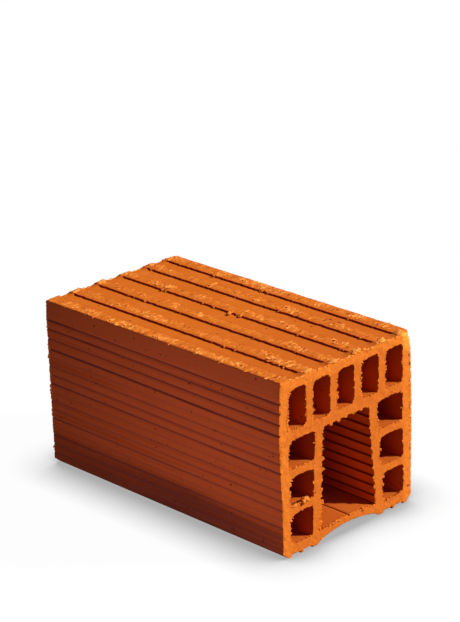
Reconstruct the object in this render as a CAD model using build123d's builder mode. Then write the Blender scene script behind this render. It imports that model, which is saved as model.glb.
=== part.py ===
from build123d import *
import math
import os

# A hollow fired-clay block. Wet clay is pushed through a die and the run is cut with a wire,
# so one section, with all its holes, ribs and grooves, goes straight through from end to end.
# Millimetres. X runs along the block, Z is up, and the origin is the middle of the underside.

# Overall size
length = 330.0
width = 180.0
height = 180.0

# Outer corners
top_corner_radius = 3.5
foot_chamfer_width = 7.0
foot_chamfer_height = 6.0

# Walls and webs of the section
side_wall = 10.0
top_wall = 10.0
top_web = 8.4
deck = 9.0
side_web = 7.5
inner_wall = 9.5
bed_wall = 12.0

# Row of cells under the top
top_cell_count = 5
top_cell_height = 40.5

# Cells stacked between each long side and the cavity
side_cell_count = 3

# Corners of the cells, and the larger corner that follows the chamfer at the foot
cell_radius = 4.0
foot_cell_radius = 7.0

# Large cavity, a little wider at its floor than at its ceiling
cavity_ceiling_width = 66.0
cavity_floor_width = 80.0
cavity_radius = 2.5

# Key ridges on the ceiling and walls of the cavity, the first on each wall this far below the ceiling
ridge_height = 2.2
ridge_pitch = 10.7
first_ridge_drop = 13.3

# Thin arched panel under the cavity, scored along its middle so that it can be knocked out
panel_thickness = 7.3
panel_rise = 4.0
score_depth = 1.5
arch_width = 86.0
arch_flank_width = 5.5
arch_flank_height = 3.5

# Ribs on the bed, which carry the block, counted outwards from the arch
bed_rib_height = 2.2
inner_bed_rib = 7.5
middle_bed_rib = 4.0
outer_bed_rib = 4.5

# Raised strips on the top, over the webs and along both edges
top_rib_height = 1.6
top_rib_width = 14.0
top_edge_width = 17.0

# Plaster grooves along both long sides, below a plain band
side_band = 21.0
side_groove_depth = 1.2
side_groove_pitch = 9.75

# Largest part of a cell's shorter side that one rounded corner may take
corner_limit_share = 0.45


def turned_square_side(reach):
    """Side of a square that, stood on a corner, reaches this far from its middle."""
    return reach * math.sqrt(2)


half_width = width / 2

# Levels and breadths of the cells
top_cell_width = (width - 2 * side_wall - (top_cell_count - 1) * top_web) / top_cell_count
top_cell_pitch = top_cell_width + top_web
top_cell_floor = height - top_wall - top_cell_height
cavity_ceiling = top_cell_floor - deck
side_cell_outer = half_width - side_wall
side_cell_height = (cavity_ceiling - bed_wall - (side_cell_count - 1) * side_web) / side_cell_count

# How far the cavity's walls lean inwards for each millimetre of height
cavity_lean = (cavity_floor_width - cavity_ceiling_width) / 2 / (cavity_ceiling - bed_wall)

# Crown of the panel, above and below
cavity_crown = bed_wall + panel_rise
arch_crown = cavity_crown - panel_thickness
arch_spring = arch_width / 2 - arch_flank_width

# Shallow slots between the ribs of the bed, two on each side
bed_slots_start = arch_width / 2 + inner_bed_rib
bed_slots_end = half_width - foot_chamfer_width - outer_bed_rib
bed_slot_width = (bed_slots_end - bed_slots_start - middle_bed_rib) / 2

# Numbers of grooves and ridges that find room; the lowest ridge keeps half a pitch from the floor
side_groove_room = height - side_band - foot_chamfer_height - side_groove_depth
side_groove_count = int(side_groove_room / side_groove_pitch) + 1
wall_ridge_room = cavity_ceiling - bed_wall - first_ridge_drop - ridge_pitch / 2
wall_ridge_count = int(wall_ridge_room / ridge_pitch) + 1
ceiling_ridge_count = int(cavity_ceiling_width / ridge_pitch) - 1


def cavity_half_width(level):
    """Distance from the middle of the block to the cavity's wall at this height."""
    return cavity_floor_width / 2 - cavity_lean * (level - bed_wall)


def side_cell_inner(level):
    """Distance from the middle of the block to the side cells' inner wall at this height."""
    return cavity_half_width(level) + inner_wall


# The section is drawn with its own X across the block and its own Y upwards.

# Shallow bands between the raised strips of the top
with BuildSketch() as top_bands:
    with Locations((0, height)):
        Rectangle(width - 2 * top_edge_width, 2 * top_rib_height)
        with GridLocations(top_cell_pitch, 0, top_cell_count - 1, 1):
            Rectangle(top_rib_width, 2 * top_rib_height, mode=Mode.SUBTRACT)

# Row of cells under the top
with BuildSketch() as top_cells:
    top_cell_corner = min(cell_radius, corner_limit_share * min(top_cell_width, top_cell_height))
    with Locations((0, top_cell_floor + top_cell_height / 2)):
        with GridLocations(top_cell_pitch, 0, top_cell_count, 1):
            RectangleRounded(top_cell_width, top_cell_height, top_cell_corner)

# Cells down both sides of the cavity, whose inner walls lean with it
with BuildSketch() as side_cells:
    for row in range(side_cell_count):
        low = bed_wall + row * (side_cell_height + side_web)
        high = low + side_cell_height
        with BuildLine():
            Polyline(
                (side_cell_inner(low), low),
                (side_cell_outer, low),
                (side_cell_outer, high),
                (side_cell_inner(high), high),
                close=True,
            )
        make_face()
    narrowest = min(side_cell_outer - side_cell_inner(bed_wall), side_cell_height)
    corners = side_cells.vertices().sort_by_distance((side_cell_outer, bed_wall))
    fillet(corners[1:], min(cell_radius, corner_limit_share * narrowest))
    foot_corner = side_cells.vertices().sort_by_distance((side_cell_outer, bed_wall))[0]
    fillet(foot_corner, min(foot_cell_radius, corner_limit_share * narrowest))
    mirror(about=Plane.YZ)

# Cavity with its arched floor, key ridges and scored panel
with BuildSketch() as cavity:
    with BuildLine():
        Polyline(
            (cavity_half_width(bed_wall), bed_wall),
            (cavity_half_width(cavity_ceiling), cavity_ceiling),
            (-cavity_half_width(cavity_ceiling), cavity_ceiling),
            (-cavity_half_width(bed_wall), bed_wall),
        )
        ThreePointArc(
            (-cavity_half_width(bed_wall), bed_wall),
            (0, cavity_crown),
            (cavity_half_width(bed_wall), bed_wall),
        )
    make_face()
    fillet(cavity.vertices(), cavity_radius)
    ridge_side = turned_square_side(ridge_height)
    with Locations((0, cavity_ceiling)):
        with GridLocations(ridge_pitch, 0, ceiling_ridge_count, 1):
            Rectangle(ridge_side, ridge_side, rotation=45, mode=Mode.SUBTRACT)
    for ridge in range(wall_ridge_count):
        level = cavity_ceiling - first_ridge_drop - ridge * ridge_pitch
        with Locations((cavity_half_width(level), level), (-cavity_half_width(level), level)):
            Rectangle(ridge_side, ridge_side, rotation=45, mode=Mode.SUBTRACT)
    score_side = turned_square_side(score_depth)
    with Locations((0, cavity_crown)):
        Rectangle(score_side, score_side, rotation=45)

# Underside of the block: the arch in the middle and the slots between the bed's ribs
with BuildSketch() as bed:
    with BuildLine():
        Polyline((-arch_spring, arch_flank_height), (-arch_width / 2, 0), (arch_width / 2, 0),
                 (arch_spring, arch_flank_height))
        ThreePointArc((arch_spring, arch_flank_height), (0, arch_crown), (-arch_spring, arch_flank_height))
    make_face()
    slots_middle = (bed_slots_start + bed_slots_end) / 2
    with Locations((slots_middle, 0), (-slots_middle, 0)):
        with GridLocations(bed_slot_width + middle_bed_rib, 0, 2, 1):
            Rectangle(bed_slot_width, 2 * bed_rib_height)

# Plaster grooves down both long sides
with BuildSketch() as side_grooves:
    groove_side = turned_square_side(side_groove_depth)
    for groove in range(side_groove_count):
        level = height - side_band - groove * side_groove_pitch
        with Locations((half_width, level), (-half_width, level)):
            Rectangle(groove_side, groove_side, rotation=45)

# The whole section, pushed out to the length of the block
with BuildPart() as clay_brick:
    with BuildSketch(Plane.YZ):
        with BuildLine():
            foot = half_width - foot_chamfer_width
            Polyline(
                (-foot, 0),
                (foot, 0),
                (half_width, foot_chamfer_height),
                (half_width, height),
                (-half_width, height),
                (-half_width, foot_chamfer_height),
                close=True,
            )
        section = make_face()
        fillet(section.vertices().group_by(Axis.Y)[-1], top_corner_radius)
        for cut in (top_bands, top_cells, side_cells, cavity, bed, side_grooves):
            add(cut.sketch, mode=Mode.SUBTRACT)
    extrude(amount=length / 2, both=True)

clay_brick.part.label = "clay_brick"

os.makedirs("parts", exist_ok=True)
export_step(clay_brick.part, "parts/clay_brick.step")
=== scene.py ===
import math
from collections import namedtuple
from itertools import product

import bmesh
import bpy
import numpy as np
from mathutils import Matrix, Vector
from mathutils.geometry import delaunay_2d_cdt


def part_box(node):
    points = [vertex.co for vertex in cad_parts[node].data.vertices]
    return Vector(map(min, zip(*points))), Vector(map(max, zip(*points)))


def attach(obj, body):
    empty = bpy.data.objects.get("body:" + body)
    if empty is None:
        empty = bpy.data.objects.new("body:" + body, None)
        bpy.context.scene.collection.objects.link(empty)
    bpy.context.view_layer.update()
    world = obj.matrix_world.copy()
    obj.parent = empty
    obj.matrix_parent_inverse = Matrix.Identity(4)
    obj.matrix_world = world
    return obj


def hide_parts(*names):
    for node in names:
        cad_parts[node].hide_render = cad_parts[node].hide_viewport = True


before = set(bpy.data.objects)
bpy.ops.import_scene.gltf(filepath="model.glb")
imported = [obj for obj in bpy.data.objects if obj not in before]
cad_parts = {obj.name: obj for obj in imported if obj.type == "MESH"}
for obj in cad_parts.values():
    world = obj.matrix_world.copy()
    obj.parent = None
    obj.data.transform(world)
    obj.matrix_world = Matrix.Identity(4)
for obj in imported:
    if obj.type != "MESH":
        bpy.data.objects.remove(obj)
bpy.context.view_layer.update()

# The clay block is built again from the section of its CAD solid, with the finish of the real one:
# torn strips on the top, ragged lips at the cut ends, worn edges, uneven grooves and loose crumbs.
# Everything is in metres, in the frame of the CAD model.

NODE = "clay_brick"
BODY = "root"
HALF_LENGTH, HALF_WIDTH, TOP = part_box(NODE)[1]

# Steps of the mesh along the block, and round its section, by part of the outline
STEPS = {"torn": 0.00125, "band": 0.003, "side": 0.007, "bed": 0.008}
PITCHES = {"torn": 0.00125, "band": 0.0028, "side": 0.0028, "bed": 0.003}
END_OFFSETS = (0.0, 0.0003, 0.0007, 0.0012, 0.0019, 0.0028, 0.004)

# Steps of the mesh in the holes and on the cut ends
HOLE_PITCH = 0.00115
HOLE_FAR_STRIDE = 4
SHORT_SIDE = 0.004
HOLE_NEAR_DEPTHS = (0.0, 0.0005, 0.0011, 0.002, 0.0032)
HOLE_FAR_DEPTHS = (0.006, 0.012, 0.022, 0.036, 0.056, 0.085, 0.12)
END_PITCH = 0.0013
END_CLEARANCE = 0.0007

# Levels that tell one part of the outline from another
TOP_CORNER = 0.0036
FOOT = 0.0062
SIDE_DEPTH = 0.002
TOLERANCE = 0.0001
FINE_TOLERANCE = 0.00001
BATCH = 500

# Torn clay on each raised strip, from near its left edge past its right one, with tears a little askew
TORN_START = (0.002, 0.006)
TORN_REACH = 0.0155
TEAR_HEIGHT = 0.0007
TEAR_SIZE = (0.0024, 0.0095, 1.0)
TEAR_TURN = math.radians(6)
LEFT_TEAR = 0.0009
RIGHT_TEAR = 0.0013

# Depths behind the cut ends at which the clay smeared over the steps of the strips starts and is full
STEP_FILL = (0.010, 0.006)
STEP_FILL_REACH = 0.005

# How far the rounded long edges of the top are filled out towards a sharp corner
EDGE_FILL = 0.8
EDGE_FILL_SPREAD = 0.3

# Wear of the outer edges of the cut ends, and of the corners by end and side
EDGE_RADIUS = 0.0006
EDGE_RADIUS_SPREAD = 0.0009
CORNER_WEAR_REACH = 0.012
CORNER_WEAR = {(1, -1): 0.003, (1, 1): 0.007, (-1, -1): 0.002, (-1, 1): 0.003}

# Ragged lips round the holes of the cut ends, and the torn clay between them
LIP_REACH = 0.0021
LIP_DEPTH = 0.0016
CUT_RELIEF = 0.00034

# Upper left corners of the cells, where the wire smeared the clay in, most along the left side
SMEAR_REACH = 0.0016
LEFT_SMEAR_REACH = 0.003
SMEAR_SPREAD = 0.0065

# Cores that sat a little off in the die: middle and reach of each fault, and its shift across and up
CORE_FAULTS = (
    ((0.02, 0.125), (0.085, 0.08), (-0.0026, 0.0)),
    ((-0.05, 0.122), (0.04, 0.02), (0.0, -0.0014)),
    ((0.066, 0.119), (0.022, 0.008), (0.0, 0.001)),
    ((0.064, 0.084), (0.02, 0.008), (0.0, 0.0011)),
    ((-0.062, 0.046), (0.02, 0.008), (0.0, 0.001)),
)
CORE_FADE = (0.002, 0.012)

# Long sides: bow towards the front end by side, as height, level and reach
SIDE_BOWS = {-1: (0.0024, 0.118, 0.045), 1: (0.0016, 0.09, 0.07)}

# Grooves of the long sides: depth and drift of each one from the top down
GROOVE_HALF_WIDTH = 0.0015
GROOVE_LINES = (-1.0, -0.5, 0.0, 0.5, 1.0)
GROOVE_SHARES = (1.2, 1.2, 1.1, 1.5, 0.45, 0.8, 0.9, 1.25, 0.4, 0.75, 0.7, 1.0, 0.4, 1.1, 0.7, 0.5)
GROOVE_DRIFTS = (0, 0, -0.0007, -0.0022, -0.0013, -0.001, -0.001, -0.001,
                 -0.001, -0.0005, 0, -0.0005, 0, 0.0006, 0, 0)

# Numbers of flakes and grains tried, and of lumps at the strips' ends, along the top edges and the strips
FLAKE_TRIES = 12000
GRAIN_TRIES = 5200
STRIP_END_LUMPS = {1: 7, -1: 4}
EDGE_LUMPS = 150
STRIP_LUMPS = 45

# How deep the grains of the cut ends lie, and the share of the worn radius by which crumbs on an edge sink
GRAIN_DEPTH = 0.0001
WORN_SHARE = 0.3


# Noise

def lattice_values(cells, seed):
    """Steady pseudo-random values between -1 and 1 for whole-number lattice points."""
    mixed = cells[:, 0] * 73856093 ^ cells[:, 1] * 19349663 ^ cells[:, 2] * 83492791 ^ (seed * 1013904223)
    mixed = (mixed ^ (mixed >> 13)) * 1274126177 & 0x7FFFFFFF
    mixed = (mixed ^ (mixed >> 15)) * 2246822519 & 0x7FFFFFFF
    return ((mixed ^ (mixed >> 16)) & 0xFFFFF) / 0xFFFFF * 2 - 1


def noise(points, cell, seed):
    """Smooth noise between -1 and 1, with features about as large as cell, one size or three."""
    scaled = np.asarray(points) / np.asarray(cell)
    base = np.floor(scaled).astype(np.int64)
    share = scaled - base
    share = share ** 3 * (share * (share * 6 - 15) + 10)
    total = np.zeros(len(scaled))
    for corner in product((0, 1), repeat=3):
        weight = np.prod(np.where(corner, share, 1 - share), axis=1)
        total += weight * lattice_values(base + np.array(corner), seed)
    return total


def layered_noise(points, cell, seed, layers=3):
    """Noise with finer and weaker layers on top of it."""
    total = np.zeros(len(points))
    for layer in range(layers):
        total += noise(points, np.asarray(cell) / 2 ** layer, seed + layer) / 2 ** layer
    return total / (2 - 0.5 ** (layers - 1))


def smooth_step(value, low, high):
    """A smooth rise from 0 at low to 1 at high, or a fall if low is above high."""
    share = np.clip((value - low) / (high - low), 0, 1)
    return share * share * (3 - 2 * share)


def unit(vectors):
    """The vectors, each made one long."""
    return vectors / np.linalg.norm(vectors, axis=1)[:, None]


def turned(points, turn):
    """The points with their first two coordinates turned about the third axis."""
    cos, sin = math.cos(turn), math.sin(turn)
    first, second, third = points.T
    return np.stack([first * cos + second * sin, second * cos - first * sin, third], axis=1)


# Section of the block, read from the CAD solid

def section_loops():
    """Closed outlines of the cut end as arrays of (y, z), the outer one first, clay on their left."""
    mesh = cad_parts[NODE].data
    places = {}
    welded = []
    for vertex in mesh.vertices:
        key = tuple(round(value, 6) for value in vertex.co)
        welded.append(places.setdefault(key, len(places)))
    points = np.array(list(places))
    mesh.calc_loop_triangles()
    edges = set()
    for triangle in mesh.loop_triangles:
        corners = [welded[index] for index in triangle.vertices]
        if min(points[corners, 0]) > HALF_LENGTH - TOLERANCE:
            edges.update(zip(corners, corners[1:] + corners[:1]))
    following = {start: end for start, end in edges if (end, start) not in edges}
    loops = []
    while following:
        start = min(following)
        loop = [start]
        while following[loop[-1]] != start:
            loop.append(following.pop(loop[-1]))
        following.pop(loop[-1])
        loops.append(points[loop, 1:])
    return sorted(loops, key=lambda loop: -np.ptp(loop[:, 0]))


loops = section_loops()
outer = loops[0]
CAVITY = 1

# Upper left corner of each cell beside the cavity or over it, and how far its clay is smeared in
CELL_CORNERS = np.array([(loop[:, 0].min(), loop[:, 1].max()) for loop in loops[CAVITY + 1:]])
leftmost = CELL_CORNERS[:, 0] < CELL_CORNERS[:, 0].min() + TOLERANCE
CELL_SMEARS = np.where(leftmost, LEFT_SMEAR_REACH, SMEAR_REACH)

# Raised strips of the top, from their left to their right edges, and the bands between them
strip_edges = np.sort(outer[outer[:, 1] > TOP - FINE_TOLERANCE, 0])
RIB_STARTS = np.concatenate([[-HALF_WIDTH], strip_edges[2::2]])
RIB_ENDS = np.concatenate([strip_edges[1:-1:2], [HALF_WIDTH]])
inner_top = (outer[:, 1] > TOP - TOP_CORNER) & (abs(outer[:, 0]) < RIB_STARTS[-1] + TOLERANCE)
BAND_LEVEL = outer[inner_top, 1].min()
TOP_RADIUS = TOP - outer[abs(outer[:, 0]) > HALF_WIDTH - FINE_TOLERANCE, 1].max()


def on_long_side(points):
    """True for each point of the outline that lies on a long side or in one of its grooves."""
    level = (points[:, 1] > FOOT) & (points[:, 1] < TOP - TOP_CORNER)
    return level & (abs(points[:, 0]) > HALF_WIDTH - SIDE_DEPTH)


# Grooves of the long sides
side_points = outer[on_long_side(outer)]
groove_points = side_points[abs(side_points[:, 0]) < HALF_WIDTH - TOLERANCE]
GROOVE_DEPTH = HALF_WIDTH - abs(groove_points[:, 0]).min()
GROOVES = np.unique(groove_points[:, 1].round(5))[::-1] + GROOVE_DRIFTS


def rib_place(across):
    """Strip at or left of each place of the top, if the place is on it, and how far in it lies."""
    rib = np.clip(np.searchsorted(RIB_STARTS - TOLERANCE, across, "right") - 1, 0, None)
    on_rib = across < RIB_ENDS[rib] + TOLERANCE
    return rib, on_rib, across - RIB_STARTS[rib]


def outline_parts(points):
    """Name of the part of the outer outline that each point belongs to."""
    _, on_rib, _ = rib_place(points[:, 0])
    high = points[:, 1] > TOP - TOP_CORNER
    return np.select([high & on_rib, high, on_long_side(points)], ["torn", "band", "side"], "bed")


def side_levels(low, high):
    """Heights of the mesh lines on a long side, close together at each groove."""
    close = (GROOVES[:, None] + GROOVE_HALF_WIDTH * np.array(GROOVE_LINES)).ravel()
    close = close[(close > low + TOLERANCE) & (close < high - TOLERANCE)]
    marks = np.unique(np.concatenate([[low, high], close]))
    lines = []
    for start, end in zip(marks, marks[1:]):
        count = max(1, round((end - start) / PITCHES["side"]))
        lines.append(np.linspace(start, end, count, endpoint=False))
    return np.append(np.concatenate(lines), high)


def outer_outline():
    """Points round the outside of the section, with plain long sides for the grooves to be cut in later."""
    plain = outer[~on_long_side(outer)]
    points = []
    for start, end in zip(plain, np.roll(plain, -1, axis=0)):
        rise = end[1] - start[1]
        if abs(rise) > HALF_WIDTH:
            levels = side_levels(min(start[1], end[1]), max(start[1], end[1]))
            shares = np.sort((levels - start[1]) / rise)
        else:
            part = outline_parts((start + end)[None] / 2)[0]
            shares = np.linspace(0, 1, max(1, round(np.linalg.norm(end - start) / PITCHES[part])) + 1)
        points += [start + (end - start) * share for share in shares[:-1]]
    return np.array(points)


def hole_outline(loop):
    """Points round a hole, and a list that is true for those on its corners and short sides."""
    points = []
    own = []
    for start, end in zip(loop, np.roll(loop, -1, axis=0)):
        side = np.linalg.norm(end - start)
        count = max(1, round(side / HOLE_PITCH))
        points += [start + (end - start) * step / count for step in range(count)]
        own += [True] + [bool(side < SHORT_SIDE)] * (count - 1)
    return np.array(points), own


def outward_normals(loop):
    """Unit normals that point out of the clay, one for each point of the outline."""
    ahead = unit(np.roll(loop, -1, axis=0) - loop)
    along = unit(ahead + np.roll(ahead, 1, axis=0))
    return np.stack([along[:, 1], -along[:, 0]], axis=1)


def inside_clay(points, outlines):
    """True for each point that lies in the clay of the section."""
    inside = np.zeros(len(points), bool)
    for outline in outlines:
        for (y0, z0), (y1, z1) in zip(outline, np.roll(outline, -1, axis=0)):
            if z0 == z1:
                continue
            crosses = (points[:, 1] < z0) != (points[:, 1] < z1)
            limit = y0 + (points[:, 1] - z0) * (y1 - y0) / (z1 - z0)
            inside ^= crosses & (points[:, 0] < limit)
    return inside


def nearest(points, targets):
    """Distance to the nearest target and its index, for each point."""
    distances = np.empty(len(points))
    indices = np.empty(len(points), int)
    for start in range(0, len(points), BATCH):
        part = slice(start, start + BATCH)
        squares = ((points[part, None, :] - targets[None]) ** 2).sum(axis=2)
        indices[part] = squares.argmin(axis=1)
        distances[part] = np.sqrt(squares.min(axis=1))
    return distances, indices


# Mesh of the block before its finish

# Outline of the skin or of one hole, its normals, and its vertices at the front and back ends
Rim = namedtuple("Rim", "outline normals front back")


class Shell:
    """Vertices and triangles of the block; group 0 is the skin, -1 the cut ends, the others the holes."""

    def __init__(self):
        self.points = []
        self.normals = []
        self.groups = []
        self.triangles = []

    def add(self, x, point, normal, group):
        self.points.append((x, point[0], point[1]))
        self.normals.append(normal)
        self.groups.append(group)
        return len(self.points) - 1

    def zip_rows(self, first, first_keys, second, second_keys):
        """Fill the strip between two rows of vertices whose keys rise from the same start to the same end."""
        i = 0
        j = 0
        while i < len(first) - 1 or j < len(second) - 1:
            i_next = first_keys[i + 1] if i < len(first) - 1 else math.inf
            j_next = second_keys[j + 1] if j < len(second) - 1 else math.inf
            if i_next < j_next or (i_next == j_next and i <= j):
                self.triangles.append((first[i], second[j], first[i + 1]))
                i += 1
            else:
                self.triangles.append((first[i], second[j], second[j + 1]))
                j += 1

    def close(self):
        """Turn the lists into arrays, with the end and the depth behind it of each vertex."""
        self.points = np.array(self.points)
        self.normals = np.array(self.normals)
        self.groups = np.array(self.groups)
        self.section = self.points[:, 1:]
        self.parts = np.where(self.groups == 0, outline_parts(self.section), "")
        self.end = np.where(self.points[:, 0] > 0, 1, -1)
        self.depth = HALF_LENGTH - abs(self.points[:, 0])


def stations(step):
    """Places along the block, close together at both ends."""
    last = HALF_LENGTH - END_OFFSETS[-1]
    middle = np.linspace(-last, last, round(2 * last / step) + 1)[1:-1]
    ends = [HALF_LENGTH - offset for offset in END_OFFSETS]
    return np.concatenate([[-place for place in ends], middle, ends[::-1]])


def outer_skin(shell):
    """Columns of vertices along the block, finest on the torn clay of the top."""
    outline = outer_outline()
    normals = outward_normals(outline)
    columns = []
    for point, normal, part in zip(outline, normals, outline_parts(outline)):
        keys = stations(STEPS[part])
        columns.append(([shell.add(x, point, normal, 0) for x in keys], keys))
    for first, second in zip(columns, columns[1:] + columns[:1]):
        shell.zip_rows(*first, *second)
    return Rim(outline, normals, [column[0][-1] for column in columns], [column[0][0] for column in columns])


def hole_skin(shell, loop, group):
    """Rings of vertices round one hole, fine near both cut ends."""
    outline, own = hole_outline(loop)
    normals = outward_normals(outline)
    count = len(outline)
    near = list(range(count))
    far = [index for index in near if own[index] or index % HOLE_FAR_STRIDE == 0]
    depths = [(depth, near) for depth in HOLE_NEAR_DEPTHS] + [(depth, far) for depth in HOLE_FAR_DEPTHS]
    layout = [(depth - HALF_LENGTH, used) for depth, used in depths] + [(0.0, far)]
    layout += [(HALF_LENGTH - depth, used) for depth, used in reversed(depths)]
    rings = []
    for x, used in layout:
        ring = [shell.add(x, outline[index], normals[index], group) for index in used]
        rings.append((ring + ring[:1], used + [count]))
    for back, front in zip(rings, rings[1:]):
        shell.zip_rows(*front, *back)
    return Rim(outline, normals, rings[-1][0][:-1], rings[0][0][:-1])


def end_grid(outlines):
    """Points inside the clay of the cut end, away from its outlines, on a shaken triangular grid."""
    rng = np.random.default_rng(3)
    rows = np.arange(0, TOP, END_PITCH * math.sqrt(3) / 2)
    columns = np.arange(-HALF_WIDTH, HALF_WIDTH, END_PITCH)
    grid = np.array([(y + (row % 2) * END_PITCH / 2, z) for row, z in enumerate(rows) for y in columns])
    grid += rng.uniform(-0.2, 0.2, grid.shape) * END_PITCH
    grid = grid[inside_clay(grid, outlines)]
    return grid[nearest(grid, np.concatenate(outlines))[0] > END_CLEARANCE]


def cut_ends(shell, rims):
    """Fill both cut ends between the outlines, with points inside for the torn surface."""
    outlines = [rim.outline for rim in rims]
    grid = end_grid(outlines)
    flat = np.concatenate(outlines + [grid])
    edges = []
    start = 0
    for outline in outlines:
        count = len(outline)
        edges += [(start + index, start + (index + 1) % count) for index in range(count)]
        start += count
    _, _, faces, sources, _, _ = delaunay_2d_cdt([Vector(point) for point in flat], edges, [], 0, 1e-9)
    faces = np.array([[sources[corner][0] for corner in face] for face in faces])
    faces = faces[inside_clay(flat[faces].mean(axis=1), outlines)]
    for end in (1, -1):
        vertices = [vertex for rim in rims for vertex in (rim.front if end == 1 else rim.back)]
        vertices += [shell.add(end * HALF_LENGTH, point, (0.0, 0.0), -1) for point in grid]
        shell.triangles += [tuple(face[::end]) for face in np.array(vertices)[faces]]


# Finish of the block

def core_shift(section):
    """Shift of the inside of the section where the cores sat off, which fades out towards the outside."""
    inset = np.minimum(HALF_WIDTH - abs(section[:, 0]), TOP - section[:, 1])
    shift = np.zeros_like(section)
    for middle, reach, step in CORE_FAULTS:
        distance = (((section - middle) / reach) ** 2).sum(axis=1)
        shift += np.exp(-distance)[:, None] * step
    return shift * smooth_step(inset, *CORE_FADE)[:, None]


def torn_share(points):
    """How torn the top is at each place, from 0 to 1."""
    rib, _, inward = rib_place(points[:, 1])
    reach = TORN_REACH * (1 + 0.15 * noise(points, (0.012, 0.02, 1.0), 5))
    fall = np.where(rib == len(RIB_STARTS) - 1, 1.0, smooth_step(inward, reach, 0.75 * reach))
    start = np.where(rib == 0, 1.0, smooth_step(inward, *TORN_START))
    return fall * start * smooth_step(HALF_WIDTH - abs(points[:, 1]), 0.0004, 0.002)


def torn_patches(points):
    """How strongly the clay lifted at each place of the torn strips, from 0 to 1."""
    return smooth_step(noise(points, (0.017, 0.03, 1.0), 31), -0.3, 0.5)


def torn_relief(points):
    """Height of the torn clay against the level of the strips."""
    tears = layered_noise(turned(points, TEAR_TURN), TEAR_SIZE, 11, 2)
    lumps = layered_noise(points, 0.005, 21, 2)
    raised = np.maximum(tears, -0.1) * (0.2 + 1.2 * torn_patches(points))
    return TEAR_HEIGHT * torn_share(points) * (0.6 * raised + 0.3 * lumps - 0.05)


def tear_top(shell, moved):
    """Torn strips with ragged edges, smears over their steps, and filled long edges."""
    points, section = shell.points, shell.section
    high = np.isin(shell.parts, ("torn", "band"))
    level = np.clip((section[high, 1] - BAND_LEVEL) / (TOP - BAND_LEVEL), 0, 1)
    moved[high, 2] += torn_relief(points[high]) * level
    moved[high, 2] += 0.00005 * layered_noise(points[high], (0.03, 0.006, 1.0), 71)

    for edges, tear in ((RIB_STARTS[1:], LEFT_TEAR), (RIB_ENDS[:-1], RIGHT_TEAR)):
        edge = high & (abs(section[:, 0][:, None] - edges).min(axis=1) < TOLERANCE)
        ragged = 0.6 * noise(points[edge], (0.0032, 0.02, 1.0), 61)
        ragged += 0.4 * noise(points[edge], (0.0013, 0.02, 1.0), 62)
        moved[edge, 1] += tear * ragged

    gap = RIB_STARTS[1:] - section[high, :1]
    gap = np.where(gap > -TOLERANCE, abs(gap), HALF_WIDTH).min(axis=1)
    fill = smooth_step(gap, STEP_FILL_REACH, 0.001) * smooth_step(shell.depth[high], *STEP_FILL)
    moved[high, 2] += 0.95 * fill * (TOP - section[high, 1])

    corner = high & (abs(section[:, 0]) > HALF_WIDTH - TOP_RADIUS)
    middle = np.array([HALF_WIDTH, TOP]) - TOP_RADIUS
    arm = section[corner] - middle * np.column_stack([np.sign(section[corner, 0]), np.ones(corner.sum())])
    square = arm * (TOP_RADIUS / abs(arm).max(axis=1))[:, None]
    filled = EDGE_FILL + EDGE_FILL_SPREAD * layered_noise(points[corner], (0.004, 0.02, 0.02), 65)
    moved[corner, 1:] += (square - arm) * np.minimum(filled, 1)[:, None]


def groove_form(points):
    """Depth of the grooves at each place of a long side, as a share of the depth the die gave them."""
    distance = abs(points[:, 2:] - GROOVES)
    groove = distance.argmin(axis=1)
    share = np.clip(1 - (distance.min(axis=1) / GROOVE_HALF_WIDTH) ** 2, 0, 1) ** 2
    place = np.stack([points[:, 0], groove, np.sign(points[:, 1])], axis=1)
    return share * np.array(GROOVE_SHARES)[groove] * (1 + 0.2 * noise(place, (0.05, 0.7, 0.7), 81))


def wear_sides(shell, moved):
    """Grooves, slight waves and a bow towards the front end on both long sides."""
    side = shell.parts == "side"
    points = shell.points[side]
    bow = np.zeros(len(points))
    for hand, (height, level, reach) in SIDE_BOWS.items():
        bow += (np.sign(points[:, 1]) == hand) * height * np.exp(-((points[:, 2] - level) / reach) ** 2)
    bow *= np.clip(0.5 + points[:, 0] / HALF_LENGTH, 0, 1)
    waves = 0.00025 * noise(points, 0.06, 85) + 0.00006 * noise(points, (0.08, 0.02, 0.004), 82)
    reach = HALF_WIDTH - GROOVE_DEPTH * groove_form(points) + bow + waves
    moved[side, 1] = np.sign(points[:, 1]) * reach


def sway_holes(shell, moved):
    """Slight unevenness of the walls of the holes, and the cores' shift on them and on the cut ends."""
    inner = shell.groups != 0
    moved[inner, 1:] += core_shift(shell.section[inner])
    hole = shell.groups > 0
    sway = 0.0004 * layered_noise(shell.points[hole], (0.09, 0.02, 0.02), 91, 2)
    moved[hole, 1:] += shell.normals[hole] * sway[:, None]


def at_end(section, end):
    """Places of a cut end as three coordinates, different for the two ends."""
    return np.column_stack([section, np.full(len(section), 0.5 * end)])


def edge_radius(section, end):
    """Radius of the worn edge between the cut end and the outside of the block."""
    radius = EDGE_RADIUS + EDGE_RADIUS_SPREAD * layered_noise(at_end(section, end), 0.007, 41, 3)
    for (worn_end, hand), wear in CORNER_WEAR.items():
        distance = np.hypot(section[:, 0] - hand * HALF_WIDTH, section[:, 1] - TOP)
        radius += (end == worn_end) * wear * np.exp(-(distance / CORNER_WEAR_REACH) ** 2)
    return np.maximum(radius, 0.0003)


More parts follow.
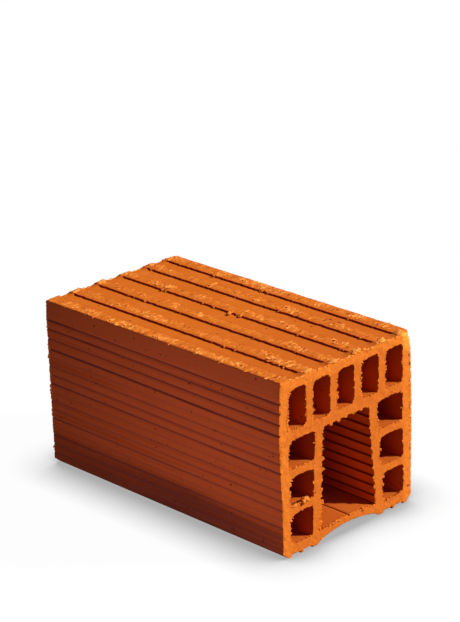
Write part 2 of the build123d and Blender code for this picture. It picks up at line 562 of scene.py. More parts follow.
def lip(section, normals, end):
    """How far the torn lip of a hole stands into the hole at a cut end, or is broken back from it."""
    places = at_end(section, end)
    ragged = 0.4 + 0.6 * smooth_step(normals[:, 0], 0.2, 0.8)
    teeth = np.clip(noise(places, 0.0021, 51), 0, 1)
    chips = np.clip(-noise(places, 0.0031, 53) - 0.35, 0, 1)
    distance, corner = nearest(section, CELL_CORNERS)
    smear = CELL_SMEARS[corner] * np.exp(-(distance / SMEAR_SPREAD) ** 2)
    return smear + LIP_REACH * ragged * (1.2 * teeth - 0.8 * chips)


def worn_edge(distance, radius):
    """How far places at this distance from an edge shift towards it, and sink, where it is worn round."""
    angle = np.clip(1 - distance / radius, 0, 1) * math.pi / 4
    shift = np.where(angle > 0, distance - radius * (1 - np.sin(angle)), 0)
    return shift, radius * (1 - np.cos(angle))


def wear_ends(shell, rims, moved):
    """Worn outer edges, ragged lips of the holes and torn clay of both cut ends."""
    skin = shell.groups == 0
    hole = shell.groups > 0
    cut = shell.depth < FINE_TOLERANCE
    edges = np.concatenate([rim.outline for rim in rims[1:]])
    edge_normals = np.concatenate([rim.normals for rim in rims[1:]])
    for end in (1, -1):
        here = shell.end == end
        near = np.flatnonzero(skin & here)
        shift, sink = worn_edge(shell.depth[near], edge_radius(shell.section[near], end))
        moved[near, 0] += end * shift
        moved[near, 1:] -= shell.normals[near] * sink[:, None]

        face = np.flatnonzero(cut & here & ~skin)
        distance, index = nearest(shell.section[face], rims[0].outline)
        shift, sink = worn_edge(distance, edge_radius(rims[0].outline[index], end))
        moved[face, 0] -= end * sink
        moved[face, 1:] += rims[0].normals[index] * shift[:, None]

        walls = np.flatnonzero(hole & here)
        reach = lip(shell.section[walls], shell.normals[walls], end) * np.exp(-shell.depth[walls] / LIP_DEPTH)
        moved[walls, 1:] += shell.normals[walls] * reach[:, None]
        inner = np.flatnonzero((shell.groups == -1) & here)
        distance, index = nearest(shell.section[inner], edges)
        reach = lip(edges[index], edge_normals[index], end) * np.exp(-distance / LIP_DEPTH)
        moved[inner, 1:] += edge_normals[index] * reach[:, None]

        places = at_end(shell.section[face], end)
        torn = layered_noise(places, 0.004, 101) + 0.5 * noise(turned(places, 0.6), (0.014, 0.0017, 1.0), 104)
        moved[face, 0] += end * CUT_RELIEF * torn


def vertex_masks(shell):
    """Shares, by vertex, that say where each kind of surface is, and where shade is painted in the holes."""
    skin = shell.groups == 0
    turn = abs(shell.normals[:, 0]) + 0.15 * noise(shell.points, 0.004, 115)
    upright = smooth_step(turn, 0.42, 0.6) * skin
    groove = np.where(shell.parts == "side", groove_form(shell.points), 0)
    hole = (shell.groups > 0) & (shell.depth > FINE_TOLERANCE)
    rise = shell.normals[:, 1]
    cavity = hole & (shell.groups == CAVITY)
    # Painted shade: the upper faces of the cavity's ridges, which the light from the lit floor does not reach
    painted_ledge_shade = smooth_step(rise, 0.3, 0.6) * smooth_step(rise, 0.92, 0.75)
    # Painted shade: darker deeper into the holes
    depth_shade = smooth_step(shell.depth, 0.0, np.where(cavity, 0.09, 0.035))
    high = shell.points[:, 2] > TOP - TOP_CORNER
    inset = np.minimum(HALF_WIDTH - abs(shell.section[:, 0]), TOP - shell.section[:, 1])
    return {
        "cut_face": shell.depth < FINE_TOLERANCE,
        "torn_strip": torn_share(shell.points) * (1 - upright) * high * skin,
        "inner_cut": smooth_step(inset, 0.006, 0.014),
        "long_side": upright,
        "groove": np.clip(groove, 0, 1.5),
        "hole_wall": hole,
        "hole_floor": smooth_step(rise, 0.85, 0.95) * hole,
        "cavity_wall": cavity,
        "painted_depth_shade": depth_shade * hole,
        "painted_ledge_shade": painted_ledge_shade * cavity,
    }


# Pieces

def add_piece(name, points, triangles, masks, material):
    """A mesh object of the clay with its masks as attributes, carried by the block's body."""
    mesh = bpy.data.meshes.new(name)
    mesh.from_pydata(points.tolist(), [], np.asarray(triangles).tolist())
    for mask, values in masks.items():
        attribute = mesh.attributes.new(mask, "FLOAT", "POINT")
        attribute.data.foreach_set("value", np.asarray(values, np.float32))
    mesh.materials.append(material)
    mesh.update()
    piece = bpy.data.objects.new(name, mesh)
    bpy.context.scene.collection.objects.link(piece)
    bpy.context.view_layer.objects.active = piece
    piece.select_set(True)
    bpy.ops.object.shade_smooth_by_angle(angle=math.radians(50))
    piece.select_set(False)
    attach(piece, BODY)
    return piece


def add_block(material):
    """The block itself, which stands for the CAD solid; returns the outlines of its section."""
    shell = Shell()
    rims = [outer_skin(shell)]
    for number, loop in enumerate(loops[1:], start=1):
        rims.append(hole_skin(shell, loop, number))
    cut_ends(shell, rims)
    shell.close()
    moved = shell.points.copy()
    tear_top(shell, moved)
    wear_sides(shell, moved)
    sway_holes(shell, moved)
    wear_ends(shell, rims, moved)
    moved[:, 2] = np.maximum(moved[:, 2], 0)
    block = add_piece("clay_block", moved, shell.triangles, vertex_masks(shell), material)
    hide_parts(NODE)
    return rims


class Crumbs:
    """A batch of small rough lumps that becomes one piece."""

    def __init__(self, divisions, seed):
        ball = bmesh.new()
        bmesh.ops.create_icosphere(ball, subdivisions=divisions, radius=1.0)
        ball.verts.index_update()
        self.ball = np.array([vertex.co for vertex in ball.verts])
        self.faces = np.array([[vertex.index for vertex in face.verts] for face in ball.faces])
        ball.free()
        self.rng = np.random.default_rng(seed)
        self.points = []
        self.paleness = []

    def add(self, centres, along, up, sizes, paleness, shake=0.3, dent=0.4):
        """Lumps of these half sizes along, across and up, with their directions a little shaken."""
        count = len(centres)
        along = unit(along + self.rng.normal(0, shake, (count, 3)))
        across = unit(np.cross(up, along))
        axes = np.stack([along, across, np.cross(along, across)], axis=1)
        dents = (self.ball + self.rng.uniform(0, 99, (count, 1, 3))).reshape(-1, 3)
        rough = 1 + dent * noise(dents, 0.8, 141).reshape(count, -1, 1)
        placed = np.einsum("nvk,nkj->nvj", self.ball * rough * sizes[:, None, :], axes) + centres[:, None, :]
        placed[..., 2] = np.maximum(placed[..., 2], 0)
        self.points.append(placed)
        self.paleness.append(np.broadcast_to(paleness, count))

    def add_on_end(self, end, depth, section, along, sizes, palest):
        """Lumps behind a cut end at these depths and places of the section, drawn out along it."""
        count = len(section)
        centres = np.column_stack([np.full(count, end * (HALF_LENGTH - depth)), section])
        along = np.column_stack([np.zeros(count), along])
        paleness = palest * self.rng.uniform(0, 1, count)
        self.add(centres, along, np.array([end, 0.0, 0.0]), sizes, paleness)

    def finish(self, name, masks, material):
        """Make the piece, with the same masks on all of it."""
        points = np.concatenate(self.points)
        count, corners = points.shape[:2]
        triangles = self.faces + np.arange(count)[:, None, None] * corners
        shares = {mask: np.full(count * corners, share) for mask, share in masks.items()}
        shares["paleness"] = np.repeat(np.concatenate(self.paleness), corners)
        add_piece(name, points.reshape(-1, 3), triangles.reshape(-1, 3), shares, material)


def sizes_between(rng, count, low, high, power=1.0):
    """Random half sizes between two triples, more of them small if power is above 1."""
    share = rng.uniform(0, 1, (count, 1)) ** power
    return (np.array(low) + (np.array(high) - np.array(low)) * share) * rng.uniform(0.8, 1.25, (count, 3))


def add_strip_flakes(material):
    """Thin torn flakes on the strips of the top."""
    flakes = Crumbs(1, 201)
    rng = flakes.rng
    count = FLAKE_TRIES
    rib = rng.integers(0, len(RIB_STARTS), count)
    spread = np.where(rib == 0, rng.uniform(0.003, 0.011, count), rng.uniform(0.002, 0.0155, count))
    x = rng.uniform(-HALF_LENGTH + 0.002, HALF_LENGTH - 0.002, count)
    y = np.minimum(RIB_STARTS[rib] + spread, HALF_WIDTH - TOP_RADIUS)
    places = np.column_stack([x, y, np.full(count, TOP)])
    places = places[rng.uniform(0, 1, count) < torn_share(places) * (0.03 + 0.26 * torn_patches(places))]
    _, on_rib, _ = rib_place(places[:, 1])
    places[:, 2] += torn_relief(places) - np.where(on_rib, 0, TOP - BAND_LEVEL) - 0.0001
    count = len(places)
    along = np.tile([-math.sin(TEAR_TURN), math.cos(TEAR_TURN), 0.0], (count, 1))
    sizes = sizes_between(rng, count, (0.001, 0.0005, 0.00012), (0.005, 0.0014, 0.0002), 1.4)
    up = unit(np.array([0.25, 0.05, 1.0]) + rng.normal(0, 0.08, (count, 3)))
    paleness = rng.uniform(0, 1.2, count) * (0.25 + 0.75 * torn_patches(places))
    flakes.add(places, along, up, sizes, paleness, 0.15, 0.25)
    flakes.finish("strip_flakes", {"torn_strip": 1.0}, material)


def add_end_crumbs(rims, material):
    """Burrs along the edges of the cut ends and grains on their faces."""
    crumbs = Crumbs(1, 301)
    rng = crumbs.rng
    skin = rims[0]
    edges = np.concatenate([rim.outline for rim in rims[1:]])
    normals = np.concatenate([rim.normals for rim in rims[1:]])
    for end in (1, -1):
        chance = np.where(normals[:, 1] < -0.7, 0.12, 0.42) + 0.4 * (normals[:, 0] > 0.5)
        kept = rng.uniform(0, 1, len(edges)) < chance
        count = kept.sum()
        sizes = sizes_between(rng, count, (0.0003, 0.00025, 0.0002), (0.0016, 0.0009, 0.0006), 1.7)
        reach = lip(edges[kept], normals[kept], end) + sizes[:, 0] * rng.uniform(-0.2, 0.5, count)
        places = edges[kept] + core_shift(edges[kept]) + normals[kept] * reach[:, None]
        depth = sizes[:, 2] * rng.uniform(-0.3, 1.5, count)
        crumbs.add_on_end(end, depth, places, normals[kept], sizes, 0.25)

        chance = np.where(skin.outline[:, 1] > BAND_LEVEL - TOLERANCE, 0.9, 0.45)
        kept = rng.uniform(0, 1, len(skin.outline)) < chance * (skin.outline[:, 1] > TOLERANCE)
        count = kept.sum()
        sizes = sizes_between(rng, count, (0.0003, 0.0003, 0.0002), (0.0015, 0.0011, 0.0007), 1.6)
        worn = WORN_SHARE * edge_radius(skin.outline[kept], end)
        inset = worn + sizes[:, 0] * rng.uniform(0.2, 0.9, count)
        places = skin.outline[kept] - skin.normals[kept] * inset[:, None]
        depth = worn + sizes[:, 2] * rng.uniform(-0.1, 0.8, count)
        crumbs.add_on_end(end, depth, places, skin.normals[kept], sizes, 0.4)

        places = rng.uniform((-HALF_WIDTH, 0), (HALF_WIDTH, TOP), (GRAIN_TRIES, 2))
        places = places[inside_clay(places, [rim.outline for rim in rims])]
        distance, index = nearest(places, skin.outline)
        places = places[distance > edge_radius(skin.outline[index], end)]
        sizes = sizes_between(rng, len(places), (0.0003, 0.0003, 0.00015), (0.001, 0.0007, 0.0003), 2.0)
        crumbs.add_on_end(end, GRAIN_DEPTH, places, rng.normal(0, 1, places.shape), sizes, 0.3)
    crumbs.finish("end_crumbs", {"cut_face": 1.0}, material)


# Forms of lumps along, across and up
ROUND = (1, 1, 1)
FLAT = (1, 1, 0.8)
LONG = (1.3, 0.7, 0.6)
THIN = (1.5, 0.5, 0.5)

# Clusters of larger lumps: middle, half spread, number, largest half size, form and direction
CLUSTERS = {
    "web lump": ((0.1645, -0.06, 0.0525), (0.0008, 0.0026, 0.0016), 14, 0.0026, ROUND, (0, 1, 0)),
    "tongue": ((0.1642, -0.0725, 0.0515), (0.0005, 0.0065, 0.0004), 14, 0.0016, LONG, (0, 1, 0)),
    "curl": ((0.1645, 0.0462, 0.0685), (0.0006, 0.001, 0.0026), 8, 0.0012, ROUND, (0, 0.5, 1)),
    "bridge one": ((0.0008, 0.0078, 0.1798), (0.0022, 0.0024, 0.0005), 7, 0.0016, LONG, (0, 1, 0)),
    "bridge two": ((0.0134, 0.0078, 0.1798), (0.0032, 0.0024, 0.0005), 8, 0.0018, LONG, (0, 1, 0)),
    "far corner": ((0.1583, 0.0815, 0.1766), (0.0034, 0.004, 0.0014), 30, 0.0028, FLAT, (0, 1, 0)),
    "far edge": ((0.1637, 0.0888, 0.087), (0.0009, 0.0005, 0.07), 80, 0.0018, (1.3, 0.8, 0.8), (0, 0.2, 1)),
    "back edge": ((-0.164, -0.0892, 0.092), (6e-4, 6e-4, 0.072), 44, 0.0018, (1.5, 0.7, 0.7), (0, 0.1, 1)),
    "panel edge": ((0.1645, -0.01, 0.0148), (0.0006, 0.03, 0.0012), 40, 0.0011, FLAT, (0, 1, 0)),
    "side grain": ((0.0968, -0.0906, 0.1234), (0.004, 0.0001, 0.0009), 6, 0.0006, THIN, (1, 0, 0)),
    "side crumb": ((-0.1529, -0.0902, 0.0497), (0.0028, 0.0002, 0.0008), 6, 0.0009, THIN, (1, 0, 0)),
}


def add_lumps(material):
    """Larger lumps at the ends of the strips, along the top edges and the strips, and in clusters."""
    lumps = Crumbs(2, 401)
    rng = lumps.rng
    up = np.array([0.0, 0.0, 1.0])
    along_edge = np.array([0.0, 1.0, 0.0])
    for end in (1, -1):
        for start in RIB_STARTS[1:]:
            count = STRIP_END_LUMPS[end]
            x = end * (HALF_LENGTH - rng.uniform(0.002, 0.0055, count))
            y = start + rng.uniform(0.002, 0.009, count)
            places = np.column_stack([x, y, TOP + rng.uniform(-0.0007, -0.0002, count)])
            sizes = sizes_between(rng, count, (0.0026, 0.002, 0.0008), (0.005, 0.003, 0.0012))
            lumps.add(places, along_edge, up, sizes, rng.uniform(0.4, 1, count), 0.15, 0.2)

        count = EDGE_LUMPS
        y = rng.uniform(-1, 1, count) * (HALF_WIDTH - TOP_RADIUS)
        _, on_rib, _ = rib_place(y)
        z = np.where(on_rib, TOP, BAND_LEVEL)
        worn = WORN_SHARE * edge_radius(np.column_stack([y, z]), end)
        x = end * (HALF_LENGTH - worn - rng.uniform(0, 0.0016, count))
        places = np.column_stack([x, y, z - worn - rng.uniform(0, 0.0004, count)])
        sizes = sizes_between(rng, count, (0.0008, 0.0006, 0.0003), (0.003, 0.0013, 0.0006), 1.5)
        lumps.add(places, along_edge, up, sizes, rng.uniform(0.2, 1, count), 0.15, 0.2)

    count = STRIP_LUMPS
    y = rng.choice(RIB_STARTS[1:], count) - rng.uniform(0, 0.0012, count)
    x = rng.uniform(-0.97, 0.97, count) * HALF_LENGTH
    places = np.column_stack([x, y, TOP - rng.uniform(0.0002, 0.0009, count)])
    sizes = sizes_between(rng, count, (0.0006, 0.0006, 0.0003), (0.002, 0.0014, 0.0007), 1.5)
    lumps.add(places, along_edge, up, sizes, rng.uniform(0, 0.5, count))

    for middle, spread, count, largest, form, along in CLUSTERS.values():
        places = np.array(middle) + np.array(spread) * np.clip(rng.normal(0, 0.6, (count, 3)), -1, 1)
        form = np.array(form) * largest
        sizes = sizes_between(rng, count, 0.4 * form, form)
        lumps.add(places, np.array(along), np.array([0.3, 0.1, 1.0]), sizes, rng.uniform(0, 0.4, count))
    lumps.finish("clay_lumps", {"cut_face": 0.6, "torn_strip": 0.6}, material)


# Materials

class Nodes:
    """A short way to write a node tree."""

    def __init__(self, tree):
        self.tree = tree
        self.tree.nodes.clear()

    def set(self, node, name, value):
        """Link the input to a socket, or give it a constant."""
        if isinstance(value, bpy.types.NodeSocket):
            self.tree.links.new(value, node.inputs[name])
        else:
            node.inputs[name].default_value = value

    def add(self, kind, inputs=(), **settings):
        node = self.tree.nodes.new(kind)
        for name, value in settings.items():
            setattr(node, name, value)
        for name, value in dict(inputs).items():
            self.set(node, name, value)
        return node

    def attribute(self, name):
        return self.add("ShaderNodeAttribute", attribute_name=name).outputs["Fac"]

    def axis(self, vector, name):
        return self.add("ShaderNodeSeparateXYZ", {0: vector}).outputs[name]

    def noise(self, vector, scale, detail=3.0, roughness=0.5):
        inputs = {"Vector": vector, "Scale": scale, "Detail": detail, "Roughness": roughness}
        return self.add("ShaderNodeTexNoise", inputs).outputs["Fac"]

    def stretch(self, vector, scale):
        return self.add("ShaderNodeMapping", {"Vector": vector, "Scale": scale}).outputs["Vector"]

    def math(self, operation, first, second=0.0):
        return self.add("ShaderNodeMath", {0: first, 1: second}, operation=operation).outputs[0]

    def times(self, first, second):
        return self.math("MULTIPLY", first, second)

    def span(self, value, low, high, to_low=0.0, to_high=1.0):
        inputs = {"Value": value, "From Min": low, "From Max": high, "To Min": to_low, "To Max": to_high}
        return self.add("ShaderNodeMapRange", inputs).outputs["Result"]

    def mix(self, factor, first, second):
        """Mix of two tones, each a socket or a screen colour."""
        node = self.add("ShaderNodeMix", data_type="RGBA")
        self.set(node, 0, factor)
        for place, tone in ((6, first), (7, second)):
            self.set(node, place, colour(*tone) if isinstance(tone, tuple) else tone)
        return node.outputs[2]

    def length(self, vector):
        return self.add("ShaderNodeVectorMath", {0: vector}, operation="LENGTH").outputs["Value"]

    def near(self, vector, middle, reach, uneven):
        """Distance from a middle, 1 at its reach, made uneven by a noise."""
        inputs = {"Vector": vector, "Location": middle, "Scale": reach}
        shifted = self.add("ShaderNodeMapping", inputs, vector_type="TEXTURE").outputs["Vector"]
        return self.math("ADD", self.length(shifted), self.span(uneven, 0.3, 0.7, -0.4, 0.4))

    def output(self, kind, shader):
        self.add(kind, {"Surface": shader})


def material_nodes(name):
    """A new material and its empty node tree."""
    material = bpy.data.materials.new(name)
    material.use_nodes = True
    return material, Nodes(material.node_tree)


def colour(red, green, blue):
    """Linear colour of screen values from 0 to 255."""
    screen = [value / 255 for value in (red, green, blue)]
    linear = [value / 12.92 if value <= 0.04045 else ((value + 0.055) / 1.055) ** 2.4 for value in screen]
    return (*linear, 1.0)


# Heights of the long sides' painted shade low down, dark foot and painted shade along the top, and how far
# the foot rises towards the front end
LOW_SHADE_HEIGHTS = (0.034, 0.044)
# A fire mark below a sharp edge
FIRED_EDGE_HEIGHTS = (0.031, 0.034)
# Painted shade that deepens towards the floor
FOOT_SHADE_HEIGHTS = (0.006, 0.024)
TOP_EDGE_SHADE_HEIGHTS = (0.15, 0.18)
FOOT_RISE = 0.006

# Small pits: scale, radius in its cell, rarity, and share of them off the long sides
PIT_KINDS = ((75.0, 0.09, 0.5, 1.0), (110.0, 0.11, 0.48, 0.0), (230.0, 0.1, 0.58, 1.0))

# Larger pits on the top, and a painted shadow on the floor of a cell behind its raised lip: middle and half
# size
PITS_AND_SHADOW = (
    ((0.085, 0.0622, 0.1784), (0.0022, 0.0011, 0.001)),
    ((0.0971, 0.062, 0.1784), (0.0026, 0.001, 0.001)),
    ((0.0841, 0.0363, 0.1784), (0.0014, 0.001, 0.001)),
    ((-0.0607, -0.0692, 0.1784), (0.0012, 0.0011, 0.001)),
    # Painted shadow behind the raised lip at the front of a cell's floor
    ((0.1605, -0.0725, 0.0506), (0.0032, 0.0065, 0.0008)),
)

# Worn far corner of the cut end, where the raw clay is palest, partly paler broken clay and partly a painted
# highlight where it faces the key lamp
PALE_HIGHLIGHT_CORNER = (0.164, 0.087, 0.173)
PALE_HIGHLIGHT_REACH = (0.012, 0.009, 0.013)

# Depth of the fine relief
BUMP_DISTANCE = 0.0007


def top_colour(nodes, place):
    """Smooth clay of the top, paler in patches and deeper towards the front end."""
    blotches = nodes.noise(place, 22.0, 4.0)
    pale = nodes.span(nodes.noise(place, 46.0), 0.55, 0.72, 0.0, 0.8)
    front = nodes.span(nodes.axis(place, "X"), 0.0, HALF_LENGTH, 0.0, 0.6)
    clay = nodes.mix(nodes.span(blotches, 0.3, 0.7), (218, 108, 22), (224, 114, 26))
    clay = nodes.mix(pale, clay, (232, 122, 50))
    return nodes.mix(front, clay, (207, 98, 24))


def side_colour(nodes, place, mottle):
    """Redder skin of the long sides with drag marks, a dark foot, and painted shade low down, along the top
    and in the grooves.
    """
    x = nodes.axis(place, "X")
    z = nodes.axis(place, "Z")
    drag = nodes.noise(nodes.stretch(place, (7.0, 420.0, 420.0)), 1.0, 3.0, 0.6)
    lines = nodes.noise(nodes.stretch(place, (2.0, 240.0, 240.0)), 1.0, 2.0, 0.7)
    # The redder skin tone is partly the skin's own and partly a painted red tint of the shaded sides
    skin = nodes.mix(nodes.span(drag, 0.3, 0.7), (209, 83, 42), (218, 90, 45))
    skin = nodes.mix(nodes.span(lines, 0.6, 0.68, 0.0, 0.7), skin, (190, 66, 22))
    skin = nodes.mix(nodes.span(mottle, 0.35, 0.65, 0.0, 0.3), skin, (196, 80, 42))
    height = nodes.math("ADD", nodes.span(x, 0.02, HALF_LENGTH, 0.0, FOOT_RISE), z)
    along = nodes.span(x, -0.15, 0.03, 0.45, 1.0)
    along = nodes.math("MINIMUM", along, nodes.span(x, 0.03, HALF_LENGTH, 1.0, 0.7))
    along = nodes.times(along, nodes.span(drag, 0.35, 0.65, 1.25, 0.75))
    # Painted shade: darker low on the sides, varying along the block
    low = nodes.times(nodes.span(height, *LOW_SHADE_HEIGHTS, 0.6, 0.0), along)
    skin = nodes.mix(low, skin, (150, 52, 16))
    # Dark foot: a fire mark below a sharp edge, and painted shade that deepens towards the floor
    fire_mark_and_shade = nodes.span(height, *FIRED_EDGE_HEIGHTS, 0.6, 0.0)
    fire_mark_and_shade = nodes.math("ADD", fire_mark_and_shade, nodes.span(height, *FOOT_SHADE_HEIGHTS, 0.4, 0.0))
    skin = nodes.mix(nodes.times(fire_mark_and_shade, along), skin, (110, 41, 33))
    # Painted shade: darker along the top of the sides
    skin = nodes.mix(nodes.span(z, *TOP_EDGE_SHADE_HEIGHTS, 0.0, 0.3), skin, (170, 76, 36))
    # Painted shade and a painted bluish reflection: the grooves darker and tinted blue-purple
    return nodes.mix(nodes.times(nodes.attribute("groove"), 0.65), skin, (112, 58, 64))


def wall_colour(nodes):
    """Walls of the holes, lighter in the cavity as painted light, darker on floors, and with painted shade in
    the depth and on ledges.
    """
    # Painted light: the cavity's walls lighter and the cells' walls darker, for the light that reaches into
    # each
    wall = nodes.mix(nodes.attribute("cavity_wall"), (220, 106, 26), (244, 126, 30))
    wall = nodes.mix(nodes.attribute("hole_floor"), wall, (192, 92, 22))
    # Painted shade deeper in the holes and on the ridges' upper faces
    wall = nodes.mix(nodes.attribute("painted_depth_shade"), wall, (162, 61, 15))
    return nodes.mix(nodes.times(nodes.attribute("painted_ledge_shade"), 0.85), wall, (60, 18, 8))


def raw_colour(nodes, place, mottle):
    """Raw clay of the cut ends, duller inside and in patches, and palest at the far corner, partly as a
    painted highlight.
    """
    specks = nodes.noise(place, 640.0, 3.0, 0.6)
    dull = nodes.span(nodes.noise(place, 70.0), 0.55, 0.75, 0.0, 0.5)
    corner = nodes.near(place, PALE_HIGHLIGHT_CORNER, PALE_HIGHLIGHT_REACH, mottle)
    raw = nodes.mix(nodes.span(specks, 0.35, 0.65), (230, 116, 30), (250, 137, 42))
    raw = nodes.mix(nodes.times(nodes.attribute("inner_cut"), 0.6), raw, (214, 104, 28))
    raw = nodes.mix(dull, raw, (210, 100, 26))
    # Painted highlight, with paler broken clay, at the far corner
    return nodes.mix(nodes.span(corner, 0.5, 1.3, 0.8, 0.0), raw, (255, 174, 64))


def torn_colour(nodes, place, torn, clay):
    """The torn clay, lighter, with dark crumbs and pale flecks as painted shadows and highlights, and the
    paleness of loose bits.
    """
    crumbs = nodes.noise(nodes.stretch(place, (1.0, 0.28, 1.0)), 420.0, 3.0, 0.6)
    # Lighter torn clay, partly paler clay and partly painted light where it catches the key lamp
    clay = nodes.mix(nodes.times(torn, 0.3), clay, (238, 128, 34))
    # Painted shadow: dark specks among the torn clay
    clay = nodes.mix(nodes.times(nodes.span(crumbs, 0.42, 0.34), torn), clay, (160, 56, 14))
    # Painted highlight: pale flecks on the torn clay
    highlight_flecks = nodes.times(nodes.span(crumbs, 0.54, 0.66), torn)
    clay = nodes.mix(nodes.times(highlight_flecks, 0.5), clay, (252, 154, 58))
    # Paleness of flakes, crumbs and lumps: paler clay, and on the flakes partly a painted highlight
    return nodes.mix(nodes.times(nodes.attribute("paleness"), 0.8), clay, (254, 168, 80))


def pit_share(nodes, place, mottle, side, torn):
    """Small dark pits anywhere, more of them on the long sides, the larger ones in their places, and a
    painted shadow on one cell floor.
    """
    pit = 0.0
    for scale, radius, rarity, elsewhere in PIT_KINDS:
        distance = nodes.add("ShaderNodeTexVoronoi", {"Vector": place, "Scale": scale}).outputs["Distance"]
        dots = nodes.span(distance, 0.75 * radius, 1.25 * radius, 1.0, 0.0)
        rare = nodes.span(nodes.noise(place, 0.5 * scale, 2.0), rarity, rarity + 0.08)
        dots = nodes.times(nodes.times(dots, rare), nodes.span(side, 0.0, 1.0, elsewhere, 1.0))
        pit = nodes.math("MAXIMUM", dots, pit)
    pit = nodes.times(pit, nodes.span(torn, 0.0, 0.5, 1.0, 0.2))
    for middle, size in PITS_AND_SHADOW:
        edge = nodes.near(place, middle, size, mottle)
        pit = nodes.math("MAXIMUM", pit, nodes.span(edge, 0.8, 1.1, 1.0, 0.0))
    return pit


def clay_material():
    """Fired clay: colours by kind of surface, pits, fine relief and a matt finish."""
    material, nodes = material_nodes("fired_clay")
    place = nodes.add("ShaderNodeTexCoord").outputs["Object"]
    mottle = nodes.noise(place, 260.0, 4.0, 0.6)
    grain = nodes.noise(place, 1300.0, 3.0, 0.65)
    cut = nodes.attribute("cut_face")
    torn = nodes.attribute("torn_strip")
    side = nodes.attribute("long_side")

    clay = nodes.mix(side, top_colour(nodes, place), side_colour(nodes, place, mottle))
    clay = nodes.mix(nodes.attribute("hole_wall"), clay, wall_colour(nodes))
    clay = nodes.mix(cut, clay, raw_colour(nodes, place, mottle))
    clay = torn_colour(nodes, place, torn, clay)
    pit = pit_share(nodes, place, mottle, side, torn)
    clay = nodes.mix(nodes.times(pit, 0.85), clay, (72, 26, 12))

    relief = nodes.times(mottle, nodes.span(nodes.math("MAXIMUM", cut, torn), 0.0, 1.0, 0.2, 1.0))
    height = nodes.math("ADD", nodes.times(grain, 0.25), relief)
    height = nodes.math("SUBTRACT", height, nodes.times(pit, 1.5))
    bump = nodes.add("ShaderNodeBump", {"Height": height, "Strength": 0.5, "Distance": BUMP_DISTANCE})
    shader = nodes.add("ShaderNodeBsdfPrincipled", {
        "Base Color": clay,
        "Roughness": nodes.span(grain, 0.3, 0.7, 0.75, 0.95),
        "Specular IOR Level": 0.12,
        "Normal": bump.outputs["Normal"],
    })
    nodes.output("ShaderNodeOutputMaterial", shader.outputs[0])
    return material


# Stage, light and camera

# Camera found from the corners of the block in the picture: degrees, metres and pixels
VIEW_AZIMUTH = -43.93
VIEW_ELEVATION = 20.81
VIEW_ROLL = -1.73
VIEW_DISTANCE = 2.293
VIEW_SHIFT_RIGHT = 0.0038
VIEW_SHIFT_UP = 0.0876
FOCAL_PIXELS = 2299.0
PICTURE_HEIGHT = 622.0
SENSOR = 36.0

# Floor: size, distances at which it starts to turn white and is white, screen colours in its own light and
# as seen, glow in the open and against the block, and reach of the shadow there
FLOOR_SIZE = 8.0
FLOOR_NEAR = 0.35
FLOOR_FAR = 0.8
FLOOR_SCREEN = (90, 90, 90)
FLOOR_SHADED_SCREEN = (45, 45, 45)
FLOOR_GLOW = 0.98
CONTACT_REACH = 0.056
CONTACT_GLOW = 0.41

# Key lamp from far off, fill lamp on the long side, low lamp behind the block, and even light all round
KEY_DIRECTION = (45.0, 34.0)
KEY_DISTANCE = 9.0
KEY_SIZE = 0.77
KEY_POWER = 1310.0
FILL_PLACE = Vector((0.12, -0.5, 0.07))
FILL_AIM = Vector((0.1, -0.09, 0.07))
FILL_SIZE = 0.1
FILL_POWER = 0.59
BACK_PLACE = Vector((-0.6, 0.05, 0.03))
BACK_AIM = Vector((-0.165, 0.0, 0.09))
BACK_SIZE = 0.05
BACK_POWER = 0.8
AMBIENT = 0.0184


def direction(azimuth, elevation):
    """Unit vector towards a place at these angles, in degrees, azimuth from +X towards +Y."""
    azimuth, elevation = math.radians(azimuth), math.radians(elevation)
    level = math.cos(elevation)
    return Vector((level * math.cos(azimuth), level * math.sin(azimuth), math.sin(elevation)))


def add_camera(middle):
    """The camera of the picture, turned towards the block."""
    towards = -direction(VIEW_AZIMUTH, VIEW_ELEVATION)
    right = towards.cross(Vector((0, 0, 1))).normalized()
    up = right.cross(towards)
    roll = math.radians(VIEW_ROLL)
    right, up = right * math.cos(roll) + up * math.sin(roll), up * math.cos(roll) - right * math.sin(roll)
    place = middle - towards * VIEW_DISTANCE + right * VIEW_SHIFT_RIGHT + up * VIEW_SHIFT_UP
    camera = bpy.data.objects.new("camera", bpy.data.cameras.new("camera"))
    camera.matrix_world = Matrix.Translation(place) @ Matrix((right, up, -towards)).transposed().to_4x4()
    camera.data.sensor_fit = "VERTICAL"
    camera.data.sensor_height = SENSOR
    camera.data.lens = FOCAL_PIXELS / PICTURE_HEIGHT * SENSOR
    bpy.context.scene.collection.objects.link(camera)
    bpy.context.scene.camera = camera


def add_lamp(name, place, aim, size, power):
    """A round lamp that the camera does not see."""
    lamp = bpy.data.objects.new(name, bpy.data.lights.new(name, "AREA"))
    lamp.data.shape = "DISK"
    lamp.data.size = size
    lamp.data.energy = power
    lamp.location = place
    lamp.rotation_euler = (place - aim).to_track_quat("Z", "Y").to_euler()
    lamp.visible_camera = False
    bpy.context.scene.collection.objects.link(lamp)


def seen_directly(nodes):
    """1 for rays from the camera, mirrors and glass, 0 for light."""
    path = nodes.add("ShaderNodeLightPath")
    seen = nodes.math("MAXIMUM", path.outputs["Is Camera Ray"], path.outputs["Is Glossy Ray"])
    return nodes.math("MAXIMUM", seen, path.outputs["Is Transmission Ray"])


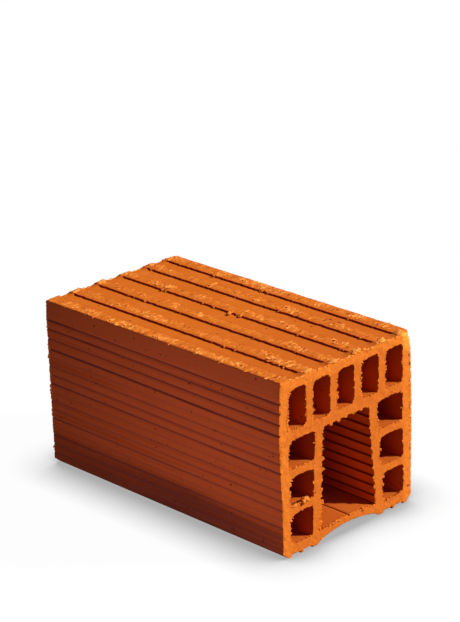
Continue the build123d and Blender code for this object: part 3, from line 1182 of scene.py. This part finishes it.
def floor_material():
    """Pale floor with a soft shadow near the block, which goes to plain white further off."""
    material, nodes = material_nodes("pale_floor")
    lit = nodes.add("ShaderNodeBsdfDiffuse", {"Color": colour(*FLOOR_SCREEN)}).outputs[0]
    shaded = nodes.add("ShaderNodeBsdfDiffuse", {"Color": colour(*FLOOR_SHADED_SCREEN)}).outputs[0]
    near = nodes.add("ShaderNodeAmbientOcclusion", {"Distance": CONTACT_REACH}, samples=16).outputs["AO"]
    contact = nodes.span(near, 0.5, 1.0, CONTACT_GLOW, FLOOR_GLOW)
    glow = nodes.add("ShaderNodeEmission", {"Strength": contact}).outputs[0]
    white = nodes.add("ShaderNodeEmission", {"Strength": 1.0}).outputs[0]
    place = nodes.add("ShaderNodeTexCoord").outputs["Object"]
    far = nodes.span(nodes.length(place), FLOOR_NEAR, FLOOR_FAR)
    shown = nodes.add("ShaderNodeAddShader", {0: shaded, 1: glow}).outputs[0]
    shown = nodes.add("ShaderNodeMixShader", {0: far, 1: shown, 2: white}).outputs[0]
    surface = nodes.add("ShaderNodeMixShader", {0: seen_directly(nodes), 1: lit, 2: shown}).outputs[0]
    nodes.output("ShaderNodeOutputMaterial", surface)
    return material


def add_floor():
    half = FLOOR_SIZE / 2
    corners = [(-half, -half, 0), (half, -half, 0), (half, half, 0), (-half, half, 0)]
    mesh = bpy.data.meshes.new("floor")
    mesh.from_pydata(corners, [], [(0, 1, 2, 3)])
    mesh.materials.append(floor_material())
    floor = bpy.data.objects.new("floor", mesh)
    bpy.context.scene.collection.objects.link(floor)


def add_world():
    """White where it is seen, and a low even light on the block."""
    world = bpy.data.worlds.new("studio")
    world.use_nodes = True
    bpy.context.scene.world = world
    nodes = Nodes(world.node_tree)
    strength = nodes.span(seen_directly(nodes), 0.0, 1.0, AMBIENT, 1.0)
    sky = nodes.add("ShaderNodeBackground", {"Color": colour(255, 255, 255), "Strength": strength}).outputs[0]
    nodes.output("ShaderNodeOutputWorld", sky)


bpy.context.scene.view_settings.view_transform = "Standard"
middle = Vector((0, 0, TOP / 2))
add_camera(middle)
add_floor()
add_world()
add_lamp("key", middle + direction(*KEY_DIRECTION) * KEY_DISTANCE, middle, KEY_SIZE, KEY_POWER)
add_lamp("fill", FILL_PLACE, FILL_AIM, FILL_SIZE, FILL_POWER)
add_lamp("back", BACK_PLACE, BACK_AIM, BACK_SIZE, BACK_POWER)

clay = clay_material()
rims = add_block(clay)
add_strip_flakes(clay)
add_end_crumbs(rims, clay)
add_lumps(clay)
